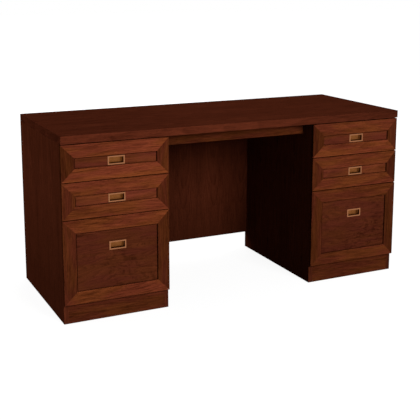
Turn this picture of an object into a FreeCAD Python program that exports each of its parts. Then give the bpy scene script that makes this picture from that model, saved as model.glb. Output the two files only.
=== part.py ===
import FreeCAD
import Part
import os

# A double-pedestal writing desk.
#
# Two drawer pedestals carry a plain square-edged top over a kneehole. Each pedestal holds two
# box drawers above a deep file drawer, and a shallow centre drawer hangs under the top. Every
# pedestal drawer has a mitred, bevelled picture-frame front round a sunk panel, with a brass cup
# pull let in flush, and a dovetailed box that runs on steel channel slides.
#
# Frame: the origin is on the floor at the centre of the footprint. +X is to the sitter's right,
# +Y to the rear, +Z up. All lengths are in millimetres.

# Overall
DESK_WIDTH = 1600.0
DESK_DEPTH = 640.0
DESK_HEIGHT = 770.0
TOP_THICKNESS = 33.0
TOP_ARRIS = 1.5
PEDESTAL_WIDTH = 453.0

# Pedestal carcasses
SIDE_THICKNESS = 20.0
CASE_SETBACK = 20.0
PLINTH_HEIGHT = 82.0
KICK_THICKNESS = 18.0
BOTTOM_THICKNESS = 18.0
BACK_THICKNESS = 12.0
BACK_REBATE = 8.0
RAIL_THICKNESS = 18.0
RAIL_DEPTH = 60.0
CORNER_BLOCK_WIDTH = 45.0
CORNER_BLOCK_HEIGHT = 40.0

# Modesty panel between the pedestals, at the rear
MODESTY_THICKNESS = 16.0
MODESTY_REBATE = 6.0

# Layout of the pedestal drawer fronts
REVEAL_UNDER_TOP = 4.0
FRONT_SPACING = 3.0
BOX_FRONT_HEIGHT = 149.0
CLOSED_GAP = 0.5

# Picture-frame drawer fronts
FRAME_WIDTH = 53.0
FRAME_EDGE_THICKNESS = 15.5
FRAME_RISE = 4.0
FRAME_BORDER = 6.0
FRAME_ARRIS = 1.0
PANEL_SINK = 4.0
PANEL_THICKNESS = 9.0
PANEL_TONGUE = 7.0
PANEL_TONGUE_THICKNESS = 4.5
PANEL_QUIRK = 3.0

# Brass cup pulls
PULL_WIDTH = 72.0
PULL_HEIGHT = 36.0
PULL_FLANGE_THICKNESS = 2.0
PULL_FLANGE_CHAMFER = 0.7
PULL_BORDER = 5.5
PULL_CUP_DEPTH = 12.0
PULL_CUP_WALL = 1.0
PULL_FINGER_UNDERCUT = 2.5
PULL_CUP_RADIUS = 5.0
PULL_HOLE_CLEARANCE = 0.4
FILE_PULL_DROP = 67.0

# Dovetailed drawer boxes
BOX_WALL_THICKNESS = 12.0
BOX_LIFT = 8.0
BOX_BELOW_FRONT = 49.0
FILE_HEADROOM = 63.5
SPACE_BEHIND_BOX = 78.5
TAIL_PITCH = 32.0
TAIL_FLARE = 2.0
TAIL_WIDTH_SHARE = 0.62
BOTTOM_SHEET_THICKNESS = 6.0
BOTTOM_SHEET_LIFT = 8.0
BOTTOM_GROOVE_DEPTH = 6.0
BOTTOM_EDGE_CLEARANCE = 0.3

# Bars that hanging files ride on, let into the top edges of the file drawers' sides
FILE_BAR_THICKNESS = 3.0
FILE_BAR_HEIGHT = 18.0
FILE_BAR_DEPTH_IN_WALL = 9.0

# Steel channel slides
SLIDE_SPACE = 12.7
SLIDE_HEIGHT = 45.0
SLIDE_SHORTER_THAN_BOX = 30.0
SLIDE_METAL = 1.2
SLIDE_PLAY = 0.4
SLIDE_CENTRE_ABOVE_BOX = 50.0
SLIDE_FRONT_MARGIN = 6.0

# Centre drawer
CENTRE_FRONT_HEIGHT = 52.0
CENTRE_FRONT_THICKNESS = 18.0
CENTRE_FRONT_SETBACK = 88.0
CENTRE_END_GAP = 2.0
CENTRE_TOP_GAP = 3.0
CENTRE_LIP_HEIGHT = 6.0
CENTRE_LIP_PROJECTION = 3.0
CENTRE_LIP_RADIUS = 1.8
CENTRE_COVE_RADIUS = 5.0
CENTRE_COVE_MARGIN = 12.0
CENTRE_BOX_HEIGHT = 38.0
CENTRE_SPACE_BEHIND_BOX = 125.0
CENTRE_BOX_RISE = 8.0
CENTRE_SLIDE_HEIGHT = 27.0
CENTRE_SLIDE_SHORTER_THAN_BOX = 40.0

# Levellers under the corner blocks, and the screws that hold the top
LEVELLER_FOOT_CORNER_RADIUS = 14.0
LEVELLER_FOOT_HEIGHT = 7.0
LEVELLER_STEM_RADIUS = 4.0
LEVELLER_STEM_TOP = 72.0
SCREW_RADIUS = 2.0
SCREW_HEAD_CORNER_RADIUS = 4.6
SCREW_HEAD_HEIGHT = 2.5
SCREW_BITE = 16.0
SCREW_END_MARGIN = 90.0
HOLE_CLEARANCE = 0.1

# How far a cutting shape runs past what it cuts
OVERRUN = 1.0

# Directions
TO_RIGHT = FreeCAD.Vector(1, 0, 0)
TO_REAR = FreeCAD.Vector(0, 1, 0)
UPWARD = FreeCAD.Vector(0, 0, 1)
CENTRE_OF_FRONT = FreeCAD.Vector(0, 0, 0)
QUARTER_TURN = 90
FULL_TURN = 360
SPANNER_FLATS = 6
PARALLEL_TOLERANCE = 1e-6

# Places that follow from the sizes above
RIGHT = DESK_WIDTH / 2
REAR = DESK_DEPTH / 2
FRONT = -REAR
UNDER_TOP = DESK_HEIGHT - TOP_THICKNESS
CASE_FRONT = FRONT + CASE_SETBACK
FRONT_BACK = CASE_FRONT - CLOSED_GAP
FRAME_INNER_THICKNESS = FRAME_EDGE_THICKNESS + FRAME_RISE
PANEL_FACE = FRONT_BACK - FRAME_INNER_THICKNESS + PANEL_SINK
PANEL_BACK = PANEL_FACE + PANEL_THICKNESS
BACK_FACE = REAR - BACK_THICKNESS
PEDESTAL_CENTRE = RIGHT - PEDESTAL_WIDTH / 2
CASE_INSIDE = PEDESTAL_WIDTH - 2 * SIDE_THICKNESS
KNEEHOLE_HALF = RIGHT - PEDESTAL_WIDTH
FLOOR_OF_CASE = PLINTH_HEIGHT + BOTTOM_THICKNESS

UPPER_TOP = UNDER_TOP - REVEAL_UNDER_TOP
UPPER_BASE = UPPER_TOP - BOX_FRONT_HEIGHT
LOWER_TOP = UPPER_BASE - FRONT_SPACING
LOWER_BASE = LOWER_TOP - BOX_FRONT_HEIGHT
FILE_TOP = LOWER_BASE - FRONT_SPACING
FILE_BASE = PLINTH_HEIGHT
UPPER_RAIL_CENTRE = UPPER_BASE - FRONT_SPACING / 2
LOWER_RAIL_CENTRE = LOWER_BASE - FRONT_SPACING / 2

BOX_DRAWER_HEIGHT = BOX_FRONT_HEIGHT - BOX_BELOW_FRONT
FILE_DRAWER_HEIGHT = LOWER_RAIL_CENTRE - RAIL_THICKNESS / 2 - FLOOR_OF_CASE - BOX_LIFT - FILE_HEADROOM
BOX_LENGTH = BACK_FACE - FRONT_BACK - SPACE_BEHIND_BOX
SLIDE_LENGTH = BOX_LENGTH - SLIDE_SHORTER_THAN_BOX
CENTRE_FRONT_FACE = FRONT + CENTRE_FRONT_SETBACK + CENTRE_LIP_PROJECTION
CENTRE_BOX_FRONT = CENTRE_FRONT_FACE + CENTRE_FRONT_THICKNESS
CENTRE_BOX_LENGTH = REAR - MODESTY_THICKNESS - CENTRE_BOX_FRONT - CENTRE_SPACE_BEHIND_BOX
CENTRE_SLIDE_LENGTH = CENTRE_BOX_LENGTH - CENTRE_SLIDE_SHORTER_THAN_BOX
CENTRE_FRONT_TOP = UNDER_TOP - CENTRE_TOP_GAP
CENTRE_FRONT_BASE = CENTRE_FRONT_TOP - CENTRE_FRONT_HEIGHT

PEDESTALS = {"left": -PEDESTAL_CENTRE, "right": PEDESTAL_CENTRE}


# Basic solids

def block(low_x, high_x, low_y, high_y, low_z, high_z):
    """A box between two corners, whichever of each pair of places is the lower."""
    corner = FreeCAD.Vector(min(low_x, high_x), min(low_y, high_y), min(low_z, high_z))
    size = (abs(high_x - low_x), abs(high_y - low_y), abs(high_z - low_z))
    return Part.makeBox(*size, corner)


def prism(points, sweep):
    """The solid that a closed outline sweeps out along a vector."""
    return Part.Face(Part.makePolygon(points + points[:1])).extrude(sweep)


def rod(radius, length, start, direction):
    """A round bar from a start point along a direction."""
    return Part.makeCylinder(radius, length, start, direction)


def hexagonal_bar(corner_radius, height, start):
    """An upright six-sided bar for a spanner, by the distance from its axis to its corners."""
    corners = []
    for number in range(SPANNER_FLATS):
        turn = FreeCAD.Rotation(UPWARD, number * FULL_TURN / SPANNER_FLATS)
        corners.append(start + turn.multVec(TO_RIGHT * corner_radius))
    return prism(corners, UPWARD * height)


def edges_along(shape, direction):
    """The straight edges of a solid that run along a direction."""
    found = []
    for edge in shape.Edges:
        leaning = edge.tangentAt(edge.FirstParameter).cross(direction).Length
        if isinstance(edge.Curve, Part.Line) and leaning < PARALLEL_TOLERANCE:
            found.append(edge)
    return found


def save(name, solids):
    """Writes one named piece, or one group of like pieces, as a STEP file."""
    shape = solids[0] if len(solids) == 1 else Part.makeCompound(solids)
    shape.exportStep("parts/" + name + ".step")


# Top and carcasses

def screw_places():
    """Where screws rise through the top rails: two in each front rail and one in each rear rail."""
    reach = CASE_INSIDE / 2 - SCREW_END_MARGIN
    front_y = CASE_FRONT + RAIL_DEPTH / 2
    rear_y = BACK_FACE - RAIL_DEPTH / 2
    places = []
    for centre in PEDESTALS.values():
        places += [(centre - reach, front_y), (centre + reach, front_y), (centre, rear_y)]
    return places


def desktop():
    """The slab, with its sharp edges just taken off and blind holes for the fixing screws."""
    slab = block(-RIGHT, RIGHT, FRONT, REAR, UNDER_TOP, DESK_HEIGHT)
    slab = slab.makeChamfer(TOP_ARRIS, slab.Edges)
    for x, y in screw_places():
        start = FreeCAD.Vector(x, y, UNDER_TOP - OVERRUN)
        slab = slab.cut(rod(SCREW_RADIUS + HOLE_CLEARANCE, SCREW_BITE + 2 * OVERRUN, start, UPWARD))
    return slab


def side_panel(outer_face, inward, faces_kneehole):
    """A pedestal side that runs from the floor to the top, rebated at the rear for the back.

    inward is the sign of X towards the inside of its pedestal. A side at the kneehole is also
    rebated on its other face for the modesty panel.
    """
    inner_face = outer_face + inward * SIDE_THICKNESS
    panel = block(outer_face, inner_face, CASE_FRONT, REAR, 0, UNDER_TOP)
    rebate = block(inner_face - inward * BACK_REBATE, inner_face + inward * OVERRUN,
                   BACK_FACE, REAR + OVERRUN, -OVERRUN, UNDER_TOP + OVERRUN)
    panel = panel.cut(rebate)
    if faces_kneehole:
        housing = block(outer_face - inward * OVERRUN, outer_face + inward * MODESTY_REBATE,
                        REAR - MODESTY_THICKNESS, REAR + OVERRUN, PLINTH_HEIGHT, UNDER_TOP + OVERRUN)
        panel = panel.cut(housing)
    return panel


def modesty_panel():
    """The panel that closes the kneehole at the rear, with its ends in the sides' rebates."""
    half = KNEEHOLE_HALF + MODESTY_REBATE
    return block(-half, half, REAR - MODESTY_THICKNESS, REAR, PLINTH_HEIGHT, UNDER_TOP)


def pedestal_back(centre):
    half = CASE_INSIDE / 2 + BACK_REBATE
    return block(centre - half, centre + half, BACK_FACE, REAR, 0, UNDER_TOP)


def pedestal_bottom(centre):
    half = CASE_INSIDE / 2
    return block(centre - half, centre + half, CASE_FRONT, BACK_FACE, PLINTH_HEIGHT, FLOOR_OF_CASE)


def kick_board(centre):
    half = CASE_INSIDE / 2
    return block(centre - half, centre + half, CASE_FRONT, CASE_FRONT + KICK_THICKNESS, 0, PLINTH_HEIGHT)


def divider_rail(centre, height):
    """The rail behind the gap between two drawer fronts."""
    half = CASE_INSIDE / 2
    return block(centre - half, centre + half, CASE_FRONT, CASE_FRONT + RAIL_DEPTH,
                 height - RAIL_THICKNESS / 2, height + RAIL_THICKNESS / 2)


def top_rail(centre, front_edge):
    """A rail under the top, with a clear hole for each fixing screw."""
    half = CASE_INSIDE / 2
    rail = block(centre - half, centre + half, front_edge, front_edge + RAIL_DEPTH,
                 UNDER_TOP - RAIL_THICKNESS, UNDER_TOP)
    for x, y in screw_places():
        start = FreeCAD.Vector(x, y, UNDER_TOP - RAIL_THICKNESS - OVERRUN)
        hole = rod(SCREW_RADIUS + HOLE_CLEARANCE, RAIL_THICKNESS + 2 * OVERRUN, start, UPWARD)
        if abs(x - centre) < half and front_edge < y < front_edge + RAIL_DEPTH:
            rail = rail.cut(hole)
    return rail


def fixing_screw(x, y):
    """A hexagon-headed screw, seated on the underside of its rail."""
    seat = UNDER_TOP - RAIL_THICKNESS
    head = hexagonal_bar(SCREW_HEAD_CORNER_RADIUS, SCREW_HEAD_HEIGHT,
                         FreeCAD.Vector(x, y, seat - SCREW_HEAD_HEIGHT))
    shank = rod(SCREW_RADIUS, RAIL_THICKNESS + SCREW_BITE, FreeCAD.Vector(x, y, seat), UPWARD)
    return head.fuse(shank)


def corner_places():
    """The outer corner of each base block, with the signs of X and Y towards the pedestal's middle."""
    places = []
    for centre in PEDESTALS.values():
        for toward_x in (1, -1):
            places.append((centre - toward_x * CASE_INSIDE / 2, CASE_FRONT + KICK_THICKNESS, toward_x, 1))
            places.append((centre - toward_x * CASE_INSIDE / 2, BACK_FACE, toward_x, -1))
    return places


def corner_block(x, y, toward_x, toward_y):
    """A block glued into a corner of the base, bored for its leveller."""
    base = PLINTH_HEIGHT - CORNER_BLOCK_HEIGHT
    body = block(x, x + toward_x * CORNER_BLOCK_WIDTH, y, y + toward_y * CORNER_BLOCK_WIDTH,
                 base, PLINTH_HEIGHT)
    middle = FreeCAD.Vector(x + toward_x * CORNER_BLOCK_WIDTH / 2, y + toward_y * CORNER_BLOCK_WIDTH / 2,
                            base - OVERRUN)
    bore = rod(LEVELLER_STEM_RADIUS + HOLE_CLEARANCE, LEVELLER_STEM_TOP - base + 2 * OVERRUN, middle, UPWARD)
    return body.cut(bore)


def leveller(x, y, toward_x, toward_y):
    """A screw that stands on the floor inside the plinth on a hexagonal foot."""
    middle = FreeCAD.Vector(x + toward_x * CORNER_BLOCK_WIDTH / 2, y + toward_y * CORNER_BLOCK_WIDTH / 2, 0)
    foot = hexagonal_bar(LEVELLER_FOOT_CORNER_RADIUS, LEVELLER_FOOT_HEIGHT, middle)
    stem = rod(LEVELLER_STEM_RADIUS, LEVELLER_STEM_TOP - LEVELLER_FOOT_HEIGHT,
               middle + UPWARD * LEVELLER_FOOT_HEIGHT, UPWARD)
    return foot.fuse(stem)


# Picture-frame drawer fronts

def frame_member(length):
    """One bevelled member of a front's frame, mitred at both ends.

    It lies along X about zero, with its outer edge at the bottom and its back at Y zero. The
    face is a flat border, then a slope that rises to the inner edge. A groove in the inner edge
    holds the tongue of the sunk panel.
    """
    groove_back = FRONT_BACK - PANEL_BACK
    groove_front = groove_back + PANEL_TONGUE_THICKNESS
    outline = [
        (0, 0),
        (0, FRAME_EDGE_THICKNESS - FRAME_ARRIS),
        (FRAME_ARRIS, FRAME_EDGE_THICKNESS),
        (FRAME_BORDER, FRAME_EDGE_THICKNESS),
        (FRAME_WIDTH - FRAME_ARRIS, FRAME_INNER_THICKNESS),
        (FRAME_WIDTH, FRAME_INNER_THICKNESS - FRAME_ARRIS),
        (FRAME_WIDTH, groove_front),
        (FRAME_WIDTH - PANEL_TONGUE, groove_front),
        (FRAME_WIDTH - PANEL_TONGUE, groove_back),
        (FRAME_WIDTH, groove_back),
        (FRAME_WIDTH, 0),
    ]
    half = length / 2
    bar = prism([FreeCAD.Vector(-half, -out, up) for up, out in outline], TO_RIGHT * length)
    depth = FRAME_INNER_THICKNESS + 2 * OVERRUN
    mitre = prism([
        FreeCAD.Vector(-half, -depth + OVERRUN, 0),
        FreeCAD.Vector(half, -depth + OVERRUN, 0),
        FreeCAD.Vector(half - FRAME_WIDTH, -depth + OVERRUN, FRAME_WIDTH),
        FreeCAD.Vector(-half + FRAME_WIDTH, -depth + OVERRUN, FRAME_WIDTH),
    ], TO_REAR * depth)
    return bar.common(mitre)


def front_frame(centre_x, centre_z, height):
    """Two rails and two stiles that meet in mitres round the panel."""
    members = []
    for turn in range(4):
        upright = turn % 2 == 1
        length = height if upright else PEDESTAL_WIDTH
        reach = (PEDESTAL_WIDTH if upright else height) / 2
        member = frame_member(length)
        member.translate(UPWARD * -reach)
        member.rotate(CENTRE_OF_FRONT, TO_REAR, turn * QUARTER_TURN)
        member.translate(FreeCAD.Vector(centre_x, FRONT_BACK, centre_z))
        members.append(member)
    return members


def front_panel(centre_x, centre_z, height, pull_z):
    """The sunk panel: a field and a thinner tongue all round, pierced for the cup of its pull.

    The field stops short of the frame on every side, which leaves a narrow dark quirk there.
    """
    half_x = PEDESTAL_WIDTH / 2 - FRAME_WIDTH
    half_z = height / 2 - FRAME_WIDTH
    tongue_face = PANEL_BACK - PANEL_TONGUE_THICKNESS
    field_x, field_z = half_x - PANEL_QUIRK, half_z - PANEL_QUIRK
    field = block(centre_x - field_x, centre_x + field_x, PANEL_FACE, tongue_face,
                  centre_z - field_z, centre_z + field_z)
    tongue_x, tongue_z = half_x + PANEL_TONGUE, half_z + PANEL_TONGUE
    tongue = block(centre_x - tongue_x, centre_x + tongue_x, tongue_face, PANEL_BACK,
                   centre_z - tongue_z, centre_z + tongue_z)
    half_cup = PULL_WIDTH / 2 - PULL_BORDER + PULL_CUP_WALL + PULL_HOLE_CLEARANCE
    low, high = cup_heights(pull_z)
    hole = block(centre_x - half_cup, centre_x + half_cup, PANEL_FACE - OVERRUN, PANEL_BACK + OVERRUN,
                 low - PULL_HOLE_CLEARANCE, high + PULL_HOLE_CLEARANCE)
    return field.fuse(tongue).cut(hole)


def cup_heights(pull_z):
    """The lowest and highest places of a pull's cup, outside its wall."""
    half_mouth = PULL_HEIGHT / 2 - PULL_BORDER
    return pull_z - half_mouth - PULL_CUP_WALL, pull_z + half_mouth + PULL_FINGER_UNDERCUT + PULL_CUP_WALL


def cup_pull(centre_x, pull_z):
    """A brass pull: a flat rectangular flange with a cup behind it that takes the fingertips.

    The cup is taller than its mouth, so the fingers hook up behind the flange.
    """
    face = PANEL_FACE - PULL_FLANGE_THICKNESS
    half_x, half_z = PULL_WIDTH / 2, PULL_HEIGHT / 2
    flange = block(centre_x - half_x, centre_x + half_x, face, PANEL_FACE, pull_z - half_z, pull_z + half_z)
    rim = [edge for edge in flange.Edges if abs(edge.CenterOfMass.y - face) < PULL_FLANGE_CHAMFER]
    flange = flange.makeChamfer(PULL_FLANGE_CHAMFER, rim)
    half_mouth = half_x - PULL_BORDER
    low, high = cup_heights(pull_z)
    floor = PANEL_FACE + PULL_CUP_DEPTH
    cup = block(centre_x - half_mouth - PULL_CUP_WALL, centre_x + half_mouth + PULL_CUP_WALL,
                PANEL_FACE, floor + PULL_CUP_WALL, low, high)
    cup = round_cup_floor(cup, PULL_CUP_RADIUS + PULL_CUP_WALL)
    hollow = block(centre_x - half_mouth, centre_x + half_mouth, PANEL_FACE, floor,
                   low + PULL_CUP_WALL, high - PULL_CUP_WALL)
    hollow = round_cup_floor(hollow, PULL_CUP_RADIUS)
    mouth = block(centre_x - half_mouth, centre_x + half_mouth, face - OVERRUN, PANEL_FACE,
                  pull_z - half_z + PULL_BORDER, pull_z + half_z - PULL_BORDER)
    return flange.fuse(cup).cut(hollow).cut(mouth)


def round_cup_floor(cup, radius):
    """Rounds the edges of a cup where its floor meets its four walls."""
    deepest = max(vertex.Point.y for vertex in cup.Vertexes)
    floor_edges = [edge for edge in cup.Edges
                   if all(deepest - vertex.Point.y < OVERRUN for vertex in edge.Vertexes)]
    return cup.makeFillet(radius, floor_edges)


# Dovetailed drawer boxes

def tails(wall_face, toward_centre, end, toward_middle, low, high):
    """The tails at one end of a side wall, as wedges that widen towards the end.

    wall_face is the outer X of the side and end is the Y of the box's end there. The signs point
    towards the middle of the box.
    """
    count = max(1, round((high - low) / TAIL_PITCH))
    pitch = (high - low) / count
    half_narrow = pitch * TAIL_WIDTH_SHARE / 2
    half_wide = half_narrow + TAIL_FLARE
    baseline = end + toward_middle * BOX_WALL_THICKNESS
    wedges = []
    for number in range(count):
        middle = low + pitch * number + pitch / 2
        wedges.append(prism([
            FreeCAD.Vector(wall_face, end, middle - half_wide),
            FreeCAD.Vector(wall_face, end, middle + half_wide),
            FreeCAD.Vector(wall_face, baseline, middle + half_narrow),
            FreeCAD.Vector(wall_face, baseline, middle - half_narrow),
        ], TO_RIGHT * (toward_centre * BOX_WALL_THICKNESS)))
    return wedges


def drawer_box(centre_x, front_end, base, width, length, height):
    """Four walls dovetailed at the corners, and a bottom sheet that slides in from the rear.

    The bottom lies in grooves in the sides and the front wall, and runs under the rear wall.
    """
    half = width / 2
    rear_end = front_end + length
    top = base + height
    sheet_base = base + BOTTOM_SHEET_LIFT
    sheet_top = sheet_base + BOTTOM_SHEET_THICKNESS
    inner_half = half - BOX_WALL_THICKNESS
    groove_half = inner_half + BOTTOM_GROOVE_DEPTH
    groove = block(centre_x - groove_half, centre_x + groove_half,
                   front_end + BOX_WALL_THICKNESS - BOTTOM_GROOVE_DEPTH, rear_end + OVERRUN,
                   sheet_base, sheet_top)

    width_span = (centre_x - half, centre_x + half)
    front_wall = block(*width_span, front_end, front_end + BOX_WALL_THICKNESS, base, top)
    rear_wall = block(*width_span, rear_end - BOX_WALL_THICKNESS, rear_end, sheet_top, top)
    sides = []
    for toward_centre in (1, -1):
        face = centre_x - toward_centre * half
        inner = face + toward_centre * BOX_WALL_THICKNESS
        side = block(face, inner, front_end, rear_end, base, top)
        joints = (
            (front_end, 1, base, tails(face, toward_centre, front_end, 1, base, top)),
            (rear_end, -1, sheet_top, tails(face, toward_centre, rear_end, -1, sheet_top, top)),
        )
        for end, toward_middle, low, wedges in joints:
            corner = block(face, inner, end, end + toward_middle * BOX_WALL_THICKNESS, low, top)
            side = side.cut(corner.cut(wedges))
        front_wall = front_wall.cut(joints[0][3])
        rear_wall = rear_wall.cut(joints[1][3])
        sides.append(side.cut(groove))
    front_wall = front_wall.cut(groove)

    sheet_half = groove_half - BOTTOM_EDGE_CLEARANCE
    sheet = block(centre_x - sheet_half, centre_x + sheet_half,
                  front_end + BOX_WALL_THICKNESS - BOTTOM_GROOVE_DEPTH + BOTTOM_EDGE_CLEARANCE, rear_end,
                  sheet_base, sheet_top)
    return [front_wall, sides[0], sides[1], rear_wall], sheet


def with_file_bars(walls, centre_x, front_end, width, length, top):
    """Slots the tops of a file drawer's sides, and makes the flat bars that stand in them."""
    front_wall, left_side, right_side, rear_wall = walls
    cut_sides, bars = [], []
    for side, toward_centre in ((left_side, 1), (right_side, -1)):
        middle = centre_x - toward_centre * (width - BOX_WALL_THICKNESS) / 2
        half = FILE_BAR_THICKNESS / 2
        low = top - FILE_BAR_DEPTH_IN_WALL
        ends = (front_end + BOX_WALL_THICKNESS, front_end + length - BOX_WALL_THICKNESS)
        bar = block(middle - half, middle + half, *ends, low, low + FILE_BAR_HEIGHT)
        slot = block(middle - half, middle + half, *ends, low, top + OVERRUN)
        cut_sides.append(side.cut(slot))
        bars.append(bar)
    return [front_wall, *cut_sides, rear_wall], bars


# Slides

def channel(web_face, toward, depth, height, start, length, centre_z):
    """A channel with its web on one plane of X and its two flanges towards the other member."""
    half = height / 2
    outline = [
        (0, -half), (depth, -half), (depth, -half + SLIDE_METAL), (SLIDE_METAL, -half + SLIDE_METAL),
        (SLIDE_METAL, half - SLIDE_METAL), (depth, half - SLIDE_METAL), (depth, half), (0, half),
    ]
    points = [FreeCAD.Vector(web_face + toward * x, start, centre_z + z) for x, z in outline]
    return prism(points, TO_REAR * length)


def slide_pair(centre_x, space_width, start, length, centre_z, height, has_middle):
    """The nested channels of a pair of slides: those on the case, those between, those on the drawer."""
    on_case, between, on_drawer = [], [], []
    nest = SLIDE_METAL + SLIDE_PLAY
    for toward in (1, -1):
        case_face = centre_x - toward * space_width / 2
        drawer_face = case_face + toward * SLIDE_SPACE
        on_case.append(channel(case_face, toward, SLIDE_SPACE - SLIDE_PLAY, height, start, length, centre_z))
        layers = 1
        if has_middle:
            between.append(channel(case_face + toward * nest, toward, SLIDE_SPACE - SLIDE_PLAY - nest,
                                   height - 2 * nest, start, length, centre_z))
            layers = 2
        on_drawer.append(channel(drawer_face, -toward, SLIDE_SPACE - layers * nest,
                                 height - 2 * layers * nest, start, length, centre_z))
    return on_case, between, on_drawer


# Centre drawer

def centre_front():
    """The shallow front under the top: a plain board with a lipped, coved lower edge to pull on."""
    half = KNEEHOLE_HALF - CENTRE_END_GAP
    face = CENTRE_FRONT_FACE
    base = CENTRE_FRONT_BASE
    board = block(-half, half, face, CENTRE_BOX_FRONT, base, CENTRE_FRONT_TOP)
    lip = block(-half, half, face - CENTRE_LIP_PROJECTION, face, base, base + CENTRE_LIP_HEIGHT)
    nose = [edge for edge in edges_along(lip, TO_RIGHT) if edge.CenterOfMass.y < face - OVERRUN]
    lip = lip.makeFillet(CENTRE_LIP_RADIUS, nose)
    cove_half = half - CENTRE_COVE_MARGIN
    cove = rod(CENTRE_COVE_RADIUS, 2 * cove_half,
               FreeCAD.Vector(-cove_half, face + CENTRE_FRONT_THICKNESS / 2, base), TO_RIGHT)
    return board.fuse(lip).cut(cove)


# Building and writing the pieces

def write_carcass():
    save("desktop", [desktop()])
    save("left_outer_side", [side_panel(-RIGHT, 1, False)])
    save("left_inner_side", [side_panel(-KNEEHOLE_HALF, -1, True)])
    save("right_inner_side", [side_panel(KNEEHOLE_HALF, 1, True)])
    save("right_outer_side", [side_panel(RIGHT, -1, False)])
    save("modesty_panel", [modesty_panel()])
    centres = PEDESTALS.values()
    save("pedestal_backs", [pedestal_back(centre) for centre in centres])
    save("pedestal_bottoms", [pedestal_bottom(centre) for centre in centres])
    save("kick_boards", [kick_board(centre) for centre in centres])
    heights = (UPPER_RAIL_CENTRE, LOWER_RAIL_CENTRE)
    save("divider_rails", [divider_rail(centre, height) for centre in centres for height in heights])
    edges = (CASE_FRONT, BACK_FACE - RAIL_DEPTH)
    save("top_rails", [top_rail(centre, edge) for centre in centres for edge in edges])
    save("top_fixing_screws", [fixing_screw(*place) for place in screw_places()])
    save("corner_blocks", [corner_block(*place) for place in corner_places()])
    save("floor_levellers", [leveller(*place) for place in corner_places()])


def write_pedestal_drawer(name, centre_x, front_base, front_top, opening_base, box_height, is_file):
    """Writes one pedestal drawer and returns its slides' members on the case."""
    centre_z = (front_base + front_top) / 2
    height = front_top - front_base
    pull_z = front_top - FRAME_WIDTH - FILE_PULL_DROP if is_file else centre_z
    save(name + "_front_frame", front_frame(centre_x, centre_z, height))
    save(name + "_front_panel", [front_panel(centre_x, centre_z, height, pull_z)])
    save(name + "_pull", [cup_pull(centre_x, pull_z)])
    width = CASE_INSIDE - 2 * SLIDE_SPACE
    base = opening_base + BOX_LIFT
    walls, sheet = drawer_box(centre_x, FRONT_BACK, base, width, BOX_LENGTH, box_height)
    if is_file:
        walls, bars = with_file_bars(walls, centre_x, FRONT_BACK, width, BOX_LENGTH, base + box_height)
        save(name + "_hanging_bars", bars)
    save(name + "_box_walls", walls)
    save(name + "_bottom", [sheet])
    start = CASE_FRONT + SLIDE_FRONT_MARGIN
    on_case, between, on_drawer = slide_pair(centre_x, CASE_INSIDE, start, SLIDE_LENGTH,
                                             base + SLIDE_CENTRE_ABOVE_BOX, SLIDE_HEIGHT, is_file)
    save(name + "_slides", on_drawer)
    if is_file:
        save(name + "_middle_slides", between)
    return on_case


def write_centre_drawer():
    """Writes the centre drawer and returns its slides' members on the case."""
    save("centre_front", [centre_front()])
    base = CENTRE_FRONT_BASE + CENTRE_BOX_RISE
    width = 2 * KNEEHOLE_HALF - 2 * SLIDE_SPACE
    walls, sheet = drawer_box(0, CENTRE_BOX_FRONT, base, width, CENTRE_BOX_LENGTH, CENTRE_BOX_HEIGHT)
    save("centre_box_walls", walls)
    save("centre_bottom", [sheet])
    start = CENTRE_BOX_FRONT + SLIDE_FRONT_MARGIN
    on_case, _, on_drawer = slide_pair(0, 2 * KNEEHOLE_HALF, start, CENTRE_SLIDE_LENGTH,
                                       base + CENTRE_BOX_HEIGHT / 2, CENTRE_SLIDE_HEIGHT, False)
    save("centre_slides", on_drawer)
    return on_case


def main():
    os.makedirs("parts", exist_ok=True)
    write_carcass()
    case_slides = write_centre_drawer()
    upper_floor = UPPER_RAIL_CENTRE + RAIL_THICKNESS / 2
    lower_floor = LOWER_RAIL_CENTRE + RAIL_THICKNESS / 2
    drawers = (
        ("upper", UPPER_BASE, UPPER_TOP, upper_floor, BOX_DRAWER_HEIGHT, False),
        ("lower", LOWER_BASE, LOWER_TOP, lower_floor, BOX_DRAWER_HEIGHT, False),
        ("file", FILE_BASE, FILE_TOP, FLOOR_OF_CASE, FILE_DRAWER_HEIGHT, True),
    )
    for side, centre_x in PEDESTALS.items():
        for level, *sizes in drawers:
            case_slides += write_pedestal_drawer(side + "_" + level, centre_x, *sizes)
    save("cabinet_slides", case_slides)


main()
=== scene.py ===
import math
import random

import bmesh
import bpy
from mathutils import Matrix, Vector


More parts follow.
